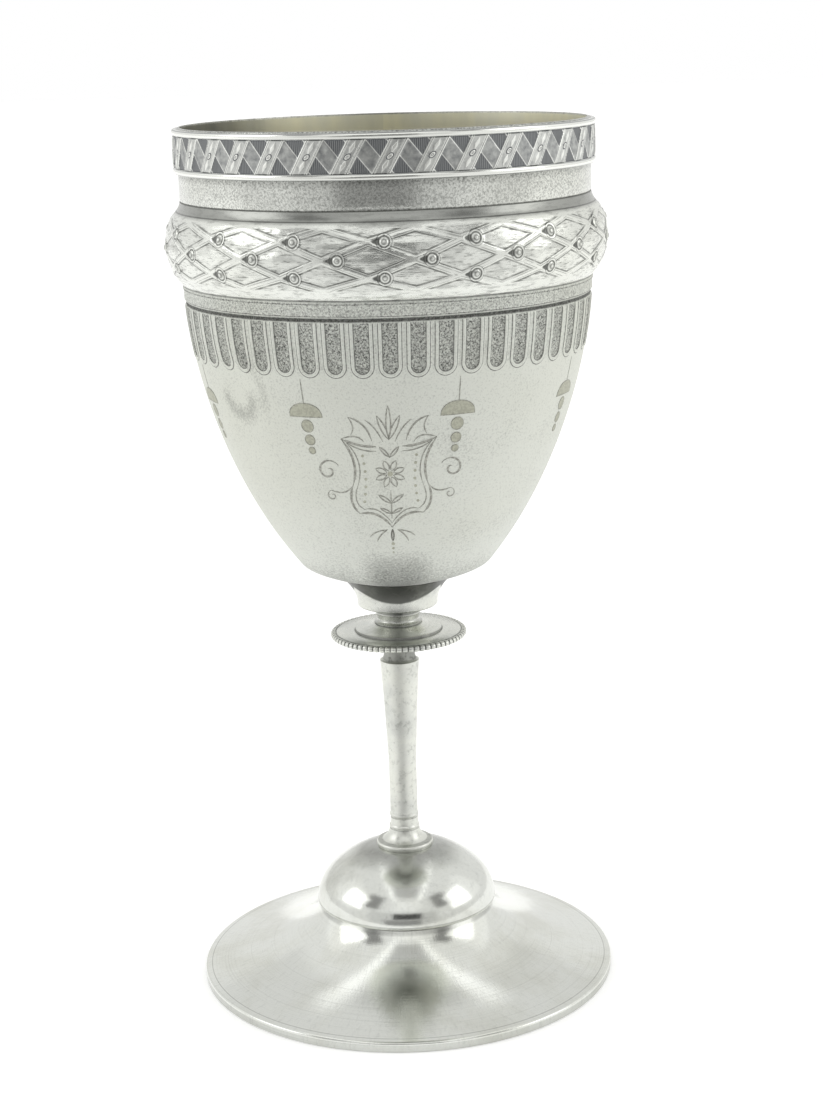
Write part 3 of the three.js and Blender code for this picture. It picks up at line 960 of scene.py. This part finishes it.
def combine(x, y, z):
    return made(x.tree, "CombineXYZ", 0, {"X": x, "Y": y, "Z": z})


def noise(vector, scale, detail, roughness):
    values = {"Vector": vector, "Scale": scale, "Detail": detail, "Roughness": roughness}
    return made(vector.tree, "TexNoise", "Fac", values)


def limited(x, highest):
    return greater(lesser(x, highest), 0.0)


def blend_colours(share, low, high):
    """The colour low where share is 0, and high where it is 1."""
    values = {"Factor": share, "A": low, "B": high}
    return made(share.tree, "Mix", "Result", values, data_type="RGBA")


SILVER = (0.79, 0.805, 0.765)
WARM_SILVER = (0.75, 0.76, 0.70)
BRIGHT_SILVER = (0.86, 0.87, 0.83)
# Dark of tarnish, and of the painted shade that the same masks carry
TARNISH_AND_SHADE = (0.11, 0.113, 0.105)
DARK_BLUE = (0.085, 0.092, 0.105)
MATT = (0.50, 0.505, 0.42)
GILT = (0.84, 0.81, 0.61)


def finished(material, colour, roughness, height):
    """Metal with fields for its colour, its roughness and its fine height in millimetres."""
    values = {"Strength": 1.0, "Distance": MM, "Height": height}
    normal = made(height.tree, "Bump", "Normal", values)
    values = {"Metallic": 1.0, "Base Color": colour, "Roughness": roughness, "Normal": normal}
    return feed_shader(material, values)


def bowl_material():
    material = new_material("bowl_silver_look")
    turn, z, vector, x, _ = coordinates(material)
    height = z - bowl_base
    rise = height - girdle_height
    inside = made(vector.tree, "Attribute", "Fac", {}, attribute_name="inside")
    outer = 1 - inside

    to_rib, to_bead, in_notch = lattice_pattern(turn, rise)
    on_lattice = near(rise, 0, lattice_reach + 0.1, lattice_reach - 0.1) * outer
    near_bead = ramp(to_bead, bead_radius + 0.6, bead_radius + 0.45)
    worn = noise(vector, 420, 2.0, 0.5)
    off_bead = 1 - near_bead
    rib_lines = stripe(to_rib, rib_half_width + 0.1, 0.13) * off_bead * (ramp(worn, 0.3, 0.6) * 0.6 + 0.4)
    inner_lines = stripe(to_rib, rib_half_width - 0.28, 0.07) * off_bead * ramp(worn, 0.42, 0.55)
    socket_ring = stripe(to_bead, bead_radius + 0.13, 0.14)
    outer_ring = stripe(to_bead, bead_radius + 0.6, 0.08)
    on_bead = ramp(to_bead, bead_radius, bead_radius - 0.1)
    bead_mark = stripe(to_bead, 0.4, 0.13)
    lattice_dark = (
        rib_lines * 0.75
        + inner_lines * 0.5
        + socket_ring * 0.85
        + outer_ring * 0.5
        + in_notch * 0.85
        + bead_mark * 0.5
    )

    out = tongue_pattern(turn, height)
    on_tongues = ramp(height, tongue_top + 0.1, tongue_top - 0.1) * outer
    outline_line = stripe(out, tongue_half + 0.02, 0.075)
    inner_line = stripe(out, tongue_inner + 0.04, 0.085)
    middle_line = stripe(out, tongue_inner + tongue_border * 0.55, 0.04)
    field = ramp(out, tongue_inner + 0.02, tongue_inner - 0.1)
    gap = ramp(out, tongue_half + 0.1, tongue_half + 0.3) * ramp(height, tongue_spring - 1.6, tongue_spring)

    belt = ramp(height, tongue_top + 1.0, tongue_top + 1.15) * ramp(height, belt_top + 0.15, belt_top)
    belt = belt * outer
    grooves = outer * stripes(
        height,
        (tongue_top + 0.5, 0.34, 0.85),
        (belt_top + 0.4, 0.18, 0.6),
        (tongue_top + 1.12, 0.08, 0.55),
        (belt_top - 0.2, 0.07, 0.45),
        (neck_line, 0.14, 0.75),
        (neck_line - 1.75, 0.1, 0.3),
    )
    neck = ramp(height, neck_line - 0.05, neck_line + 0.25) * outer
    girdle = ramp(height, belt_top + 0.2, belt_top + 0.5) * ramp(height, neck_line + 0.05, neck_line - 0.15)
    girdle = girdle * outer
    inside_shade = noise(combine(turn * 6.0, z * 0.05, 2.0), 1.0, 4.0, 0.6)
    left_wall_shade = ramp(x * (1 / MM), -12.0, -34.0)

    fine = noise(vector, 2700, 3.0, 0.65)
    coarse = noise(vector, 3300, 2.0, 0.7)
    worm = noise(vector, 1900, 1.0, 0.5)
    broad = noise(vector, 60, 3.0, 0.6)
    cloudy = noise(vector, 18, 2.0, 0.5)
    streaks = noise(combine(turn * 14.0, z * 1.7, 0.0), 1.0, 4.0, 0.65)
    hatching = noise(combine(turn * 22.0, z * 3.4, 4.0), 1.0, 3.0, 0.6)
    shaded = noise(combine(turn * 9.0, z * 0.55, 8.0), 1.0, 2.0, 0.5)
    speckle = ramp(coarse, 0.45, 0.6)
    worm_speckle = near(worm, 0.5, 0.05, 0.015)
    underside_shade = ramp(height, 8.0, 0.5) * outer
    off_reflection_lobe = size_of(wrapped(turn, FULL_TURN / 3))
    reflection_lobes = outer * ramp(off_reflection_lobe, 0.4, 0.12) * ramp(height, 11.0, 6.0)
    shadow_under_band = ramp(height, band_base - bowl_base - 1.6, band_base - bowl_base)
    dent_across = wrapped(turn - dent_turn, FULL_TURN) * side_radius
    dent_along = height - dent_height
    dent_off = root(dent_across * dent_across + dent_along * dent_along) + (broad - 0.5) * 5
    dent_crease_shade = stripe(dent_off, 4.4, 1.3, 1.0) * ramp(dent_along, 1.5, -2.0)
    dent_ripple_shade = stripe(dent_off, 8.0, 1.2, 0.9) * ramp(dent_across, 1.0, 4.0) * ramp(dent_along, -6.0, -1.0)
    off_lattice = girdle * (1 - on_lattice)
    cove = ramp(rise, 5.5, 6.3)
    in_cells = on_lattice * ramp(to_rib, rib_half_width, rib_half_width + 0.35) * off_bead

    dark = (
        lattice_dark * on_lattice
        + in_cells * (ramp(hatching, 0.55, 0.62) * 0.45 + ramp(shaded, 0.52, 0.62) * 0.26)
        # Painted shade in the lattice cells next to the ribs
        + in_cells * ramp(to_rib, 1.3, 0.6) * ramp(hatching, 0.42, 0.56) * 0.24
        # Streaks on the girdle off the lattice, and a painted shade in the cove under the neck
        + off_lattice * (ramp(streaks, 0.48, 0.64) * (0.35 - cove * 0.27) + cove * 0.64)
        + on_bead * on_lattice * 0.1
        + on_tongues * (outline_line * 0.72 + inner_line * 0.7 + middle_line * 0.15 + gap * 0.1 - 0.03)
        + on_tongues * field * (speckle * 0.4 + worm_speckle * 0.4 + 0.18)
        + belt * (speckle * 0.33 + worm_speckle * 0.2)
        + grooves
        # Stipple on the neck, and a painted shadow just under the band
        + neck * (ramp(fine, 0.44, 0.6) * 0.38 + worm_speckle * 0.2 + shadow_under_band * 0.3 + 0.06)
        + (1 - girdle) * (1 - neck) * outer * ((fine - 0.5) * 1.0 + ramp(broad, 0.45, 0.8) * 0.1)
        # Painted shade low on the bowl, darker towards its base
        + underside_shade * (0.28 + (fine - 0.5) * 0.3)
        # Painted reflection: three dark lobes low on the bowl, one at the front
        + reflection_lobes * 0.34
        # Painted shade along the dent's lower edge and in a wider arc to its right
        + (dent_crease_shade + dent_ripple_shade * 0.5) * outer * 0.25
        # Inside: streaks, and painted shade over the left wall
        + inside * (ramp(inside_shade, 0.4, 0.75) * 0.1 + left_wall_shade * 0.85)
    )
    dark = limited(dark, 0.97)

    silver = blend_colours(ramp(cloudy, 0.35, 0.7), SILVER, WARM_SILVER)
    plain = blend_colours(dark, silver, TARNISH_AND_SHADE)
    gilt_streaks = noise(combine(turn * 5.0, z * 0.04, 1.0), 1.0, 3.0, 0.6)
    gilt = blend_colours(ramp(gilt_streaks, 0.3, 0.7), GILT, (0.74, 0.73, 0.60))
    gilt = blend_colours(dark, gilt, TARNISH_AND_SHADE)
    colour = blend_colours(inside, plain, gilt)

    roughness = 0.7 - girdle * 0.5 - neck * 0.52 + dark * 0.12 - inside * 0.26 + broad * 0.06
    roughness = roughness + on_bead * on_lattice * 0.1 - cove * girdle * 0.08 - neck * 0.05
    bump = (
        (fine - 0.5) * 0.05 * (1 - girdle * 0.85) * (1 - inside * 0.9) * (1 - neck * 0.8)
        + (coarse - 0.5) * 0.12 * (neck * 0.15 + belt + on_tongues * field)
        + ((streaks - 0.5) * 0.05 + (shaded - 0.5) * 0.12) * girdle * (1 - cove * 0.9)
        + (hatching - 0.5) * 0.05 * in_cells
        - rib_lines * on_lattice * 0.04
        - (outline_line + inner_line) * on_tongues * 0.04
    )
    return finished(material, colour, roughness, bump)


def band_material():
    material = new_material("band_silver_look")
    turn, z, vector, _, _ = coordinates(material)
    across, up, across_back = ribbon_pattern(turn, z)
    on_frieze = ramp(size_of(up), frieze_half + 0.05, frieze_half - 0.05)
    off = size_of(across)
    ribbon = ramp(off, ribbon_half + 0.04, ribbon_half - 0.04)
    back = size_of(across_back)
    lozenge = ramp(back, gap_half, gap_half - 0.06) * (1 - ribbon)
    lozenge_line = stripe(back, gap_half - 0.12, 0.1) * (1 - ribbon)
    border_lines = stripe(off, ribbon_half - 0.3, 0.06) + stripe(off, ribbon_half - 0.58, 0.05) * 0.6
    panel = ramp(off, ribbon_half - 0.62, ribbon_half - 0.7)
    from_middle = root(across * across + up * up)
    boss_ring = stripe(from_middle, 0.5, 0.09) + stripe(from_middle, 0.16, 0.09)
    leaf_share = 1 - size_of(size_of(up) - 1.5) / 1.1
    leaf_width = greater(leaf_share, 0.0) * 0.42
    leaf = ramp(off - leaf_width, 0.05, -0.06) * ramp(size_of(up), 0.5, 0.62)
    boss = ramp(from_middle, 0.5, 0.42)
    mottle = noise(vector, 900, 3.0, 0.6)
    hatch = sine(turn * (band_radius * FULL_TURN / 0.36)) * 0.5 + 0.5
    ground = (1 - ribbon) * (1 - lozenge)
    bright = greater(leaf, boss)
    ribbon_dark = border_lines * 0.75 + panel * (1 - bright) * 0.45 + boss_ring * panel * 0.6 - 0.08
    dark = on_frieze * (
        ground * (0.74 + hatch * 0.2)
        + lozenge * (0.62 + (mottle - 0.5) * 0.9)
        - lozenge_line * 0.5
        + ribbon * (ribbon_dark + ramp(mottle, 0.5, 0.7) * 0.2)
        + stripe(size_of(up), frieze_half - 0.02, 0.09) * 0.4
    )
    edge = (band_top - band_base) / 2
    fillet_lines = stripes(size_of(up), (edge - 0.1, 0.1, 0.6), (frieze_half + 0.12, 0.07, 0.5))
    dark = limited(dark + fillet_lines, 0.97)
    colour = blend_colours(dark, BRIGHT_SILVER, DARK_BLUE)
    roughness = 0.12 + on_frieze * 0.2 + dark * 0.15 + mottle * 0.05
    cut = border_lines + boss_ring + panel * (1 - bright)
    bump = on_frieze * (ground * hatch * 0.03 - ribbon * cut * 0.04) + (mottle - 0.5) * 0.01
    return finished(material, colour, roughness, bump)


def plain_material(name, marks, colours, roughness, tarnish, pits, grain, spun):
    """Silver in one colour that wanders to another, with tarnish in soft clouds, pits, a grain, and each
    piece's marks, which hold lines and painted shade.
    """
    material = new_material(name)
    turn, z, vector, x, y = coordinates(material)
    cloudy = noise(vector, 70, 4.0, 0.6)
    fine = noise(vector, 2400, 3.0, 0.6)
    spots = noise(vector, 900, 4.0, 0.7)
    radius = root(x * x + y * y) * (1 / MM)
    rings = noise(combine(radius * 4.0, z * 2.0, turn * 0.6), 1.0, 4.0, 0.65)
    scratches = noise(combine(radius * 0.5, turn * 60.0, z * 0.3), 1.0, 4.0, 0.7)
    pitted = ramp(spots, 0.5, 0.72) * pits
    dark = ramp(cloudy, 0.45, 0.75) * tarnish + pitted * 0.55 + ramp(rings, 0.5, 0.7) * spun * 0.09
    dark = dark + ramp(scratches, 0.5, 0.7) * spun * 0.09 + (fine - 0.5) * 0.12
    dark = limited(dark + marks(turn, radius, z), 0.95)
    silver = blend_colours(ramp(cloudy, 0.4, 0.7), *colours)
    colour = blend_colours(dark, silver, TARNISH_AND_SHADE)
    rough = roughness + (fine - 0.5) * 0.12 + dark * 0.2 + (rings - 0.5) * spun * 0.08
    bump = (fine - 0.5) * grain - pitted * 0.02 + ((rings - 0.5) + (scratches - 0.5)) * spun * 0.008
    return finished(material, colour, rough, bump)


# Grooves, painted shade in corners and under overhangs, and other darker places of the pieces, by turn,
# radius and height
def foot_marks(turn, radius, z):
    # Painted shade on the rim's upright face
    face = ramp(z, foot_rim_face + 0.1, foot_rim_face - 0.2) * 0.3
    # A fine line inside the rim, and a painted shadow in the ring under the dome's lip
    return face + stripes(radius, (foot_radius - 1.3, 0.1, 0.3), (foot_collar_radius + 0.15, 0.35, 0.35))


def dome_marks(turn, radius, z):
    crown = ramp(radius, 12.5, 7.0) * 0.42 + 0.08
    # Along the lip: a fine dark line, and a painted shade on the lip's lower edge
    lip = stripe(z, dome_base + 0.6, 0.08) * 0.3 + ramp(z, dome_base + 0.12, dome_base) * 0.6
    return crown + lip


def disc_marks(turn, radius, z):
    step = FULL_TURN / disc_beads
    between = step / 2 - size_of(wrapped(turn, step))
    gaps = ramp(between * disc_radius, 0.2, 0.08) * ramp(radius, disc_radius - 0.75, disc_radius - 0.6)
    bead_line = disc_radius - disc_edge_height + 0.1
    steps = stripes(radius, (bead_line, 0.14, 0.6), (disc_step_radius + 0.12, 0.12, 0.6))
    # Painted shade on the disc's lower face, darker towards the middle
    underside_shade = 0.42 + ramp(radius, disc_step_radius, 6.0) * 0.2
    underside_shade = underside_shade * ramp(z, disc_base + 0.15, disc_base + 0.02)
    return gaps * 0.8 + steps + underside_shade + 0.05


def socket_marks(turn, radius, z):
    flange = socket_base + spool_height + spool_flange_thickness
    # Painted reflection: the top of the cup dark above a line that dips lowest at the front and at two
    # places round the back
    off_reflection_lobe = wrapped(turn, FULL_TURN / 3)
    cup_reflection = ramp(z - off_reflection_lobe * off_reflection_lobe * 2.4, socket_base + 5.4, socket_base + 5.9)
    # Painted shadow under the cup, over the spool's flange
    low = stripe(z, flange - 0.3, 0.25) * 0.5 + ramp(z, flange, flange - 0.8) * 0.2
    # Painted shade at the foot of the spool
    foot = ramp(z, socket_base + 0.5, socket_base) * 0.5
    return cup_reflection * 0.74 + low + foot + 0.1


def stem_marks(turn, radius, z):
    # Painted shade on the neck under the disc, from the shoulder up
    neck = ramp(z, stem_shoulder + 0.1, stem_shoulder + 0.4)
    # Painted shadow just under each of the two rings and in the corner above the collar
    rings = stripes(z - stem_base, (5.5, 0.12, 0.35), (3.2, 0.12, 0.35), (0.8, 0.14, 0.35))
    return neck * 0.55 + rings


def engraving_material():
    material = new_material("engraving_look")
    _, _, vector, _, _ = coordinates(material)
    fine = noise(vector, 2200, 2.0, 0.6)
    matted = made(vector.tree, "Attribute", "Fac", {}, attribute_name="matted")
    stroke = blend_colours(ramp(fine, 0.35, 0.65), (0.48, 0.48, 0.44), (0.30, 0.30, 0.27))
    flat = blend_colours(ramp(fine, 0.4, 0.6), MATT, (0.43, 0.43, 0.36))
    colour = blend_colours(matted, stroke, flat)
    return finished(material, colour, fine * 0.2 + 0.45, (fine - 0.5) * 0.05)


# Pieces
def make_body(node, skin, material, sharp_angle=38):
    name, points = node + "_body", np.vstack(skin.points)
    inside = ("inside", np.concatenate(skin.inside))
    make_piece(name, points, skin.faces, inside, material, node, sharp_angle)


COOL = (SILVER, WARM_SILVER)
WARM = (WARM_SILVER, SILVER)
# Node, skin, slot, marks and colours, then roughness, tarnish, pits, grain and turning lines
for node, skin, slot, *look in (
    ("foot", foot_skin(), "foot_silver", foot_marks, COOL, 0.1, 0.08, 0.03, 0.005, 1.0),
    ("foot_dome", dome_skin(), "dome_silver", dome_marks, COOL, 0.13, 0.22, 0.2, 0.005, 0.2),
    ("stem", stem_skin(), "stem_silver", stem_marks, WARM, 0.36, 0.34, 0.5, 0.02, 0.0),
    ("knop_disc", disc_skin(), "knop_silver", disc_marks, WARM, 0.26, 0.3, 0.2, 0.01, 0.6),
    ("bowl_socket", socket_skin(), "socket_silver", socket_marks, WARM, 0.2, 0.3, 0.3, 0.01, 0.0),
):
    make_body(node, skin, plain_material(slot + "_look", *look))
make_body("bowl", bowl_skin(), bowl_material(), 50)
make_body("rim_band", band_skin(), band_material(), 50)

engraving = Engraving()
add_pendants(engraving)
add_emblem(engraving)
matted = ("matted", engraving.matted)
look = engraving_material()
make_piece("bowl_engraving", engraving.points, engraving.faces, matted, look, None, None)


# Floor
def make_floor():
    size, front = 6.0, 0.085
    mesh = bpy.data.meshes.new("floor")
    corners = [(-size, -front), (size, -front), (size, size), (-size, size)]
    mesh.from_pydata([(x, y, 0.0) for x, y in corners], [], [(0, 1, 2, 3)])
    glow = {"Emission Color": (1.0, 1.0, 1.0), "Emission Strength": 0.33}
    look = {"Base Color": (0.9, 0.9, 0.895), "Roughness": 0.9, **glow}
    mesh.materials.append(feed_shader(new_material("floor_look"), look))
    new_object("floor", mesh)


# Camera
def make_camera():
    place = Vector((0.0, -400.8, 181.9)) * MM
    pitch, yaw, roll = 0.23818, 0.0072958, -0.0285104
    forward = Vector(
        (math.sin(yaw) * math.cos(pitch), math.cos(yaw) * math.cos(pitch), -math.sin(pitch))
    )
    right = forward.cross(Vector((0, 0, 1))).normalized()
    up = right.cross(forward)
    across = math.cos(roll) * right + math.sin(roll) * up
    above = -math.sin(roll) * right + math.cos(roll) * up
    data = bpy.data.cameras.new("camera")
    data.lens = 70.55
    data.sensor_width = 36.0
    data.clip_start = 0.01
    camera = new_object("camera", data)
    facing = Matrix((across, above, -forward)).transposed()
    camera.matrix_world = Matrix.Translation(place) @ facing.to_4x4()
    bpy.context.scene.camera = camera


# Light
def make_world():
    """A pale studio, with a dark opening in front and darker corners. Its angles are in degrees."""
    world = bpy.data.worlds.new("studio")
    world.use_nodes = True
    bpy.context.scene.world = world
    tree = world.node_tree
    x, y, z = parts_of(made(tree, "TexCoord", "Generated", {}))
    azimuth = turn_about(x, y) * (180 / math.pi)
    elevation = z.math("ARCSINE") * (180 / math.pi)
    aside = size_of(azimuth)
    level = near(elevation, -1, 25, 21)
    lens = ramp(aside, 20, 17) * near(elevation, 13.5, 9, 6.5)
    bars = near(azimuth, -5.5, 25, 21) * ramp(elevation, 5, 1) * 0.6
    beside = near(azimuth, -6, 46, 42) * level
    corners = near(aside, 54, 17, 10) * near(elevation, 40, 17, 10)
    behind = ramp(aside, 135, 150) * near(elevation, 44, 18, 12)
    panels = near(aside, 97, 26, 20) * near(elevation, 30, 23, 17)
    front = ramp(aside, 26, 20) * near(elevation, 40, 13, 9)
    lean = size_of(x) / greater(z, 0.05)
    high = ramp(elevation, 47, 53)
    strips = near(lean, 0.3, 0.06, 0.03) * high
    zenith = ramp(lean, 0.24, 0.19) * ramp(elevation, 56, 62)
    light = 0.9 + panels * 0.15 + front * 0.14 - corners * 0.6 - behind * 0.12 - zenith * 0.32
    light = light * (1 - lesser(bars * level + lens, 1.0) * 0.9) * (1 - beside * 0.2) + strips * 0.42
    colour = combine(light, light, light * 0.99)
    seen = made(tree, "LightPath", "Is Camera Ray", {})
    backdrop = blend_colours(seen, colour, (1.0, 1.0, 1.0))
    feed(tree.nodes["Background"], {"Color": backdrop, "Strength": 1.0})


def make_lamp(name, place, size):
    data = bpy.data.lights.new(name, "AREA")
    data.shape = "RECTANGLE"
    data.size, data.size_y = size
    data.energy = 1.8
    lamp = new_object(name, data)
    direction = Vector((0, 0, 0.1)) - Vector(place)
    lamp.location = place
    lamp.rotation_euler = direction.to_track_quat("-Z", "Y").to_euler()


make_floor()
make_camera()
make_world()
make_lamp("left_softbox", (-1.2, -0.2, 0.75), (0.8, 0.7))
make_lamp("right_softbox", (1.2, -0.25, 0.7), (0.8, 0.8))
bpy.context.scene.view_settings.view_transform = "Standard"
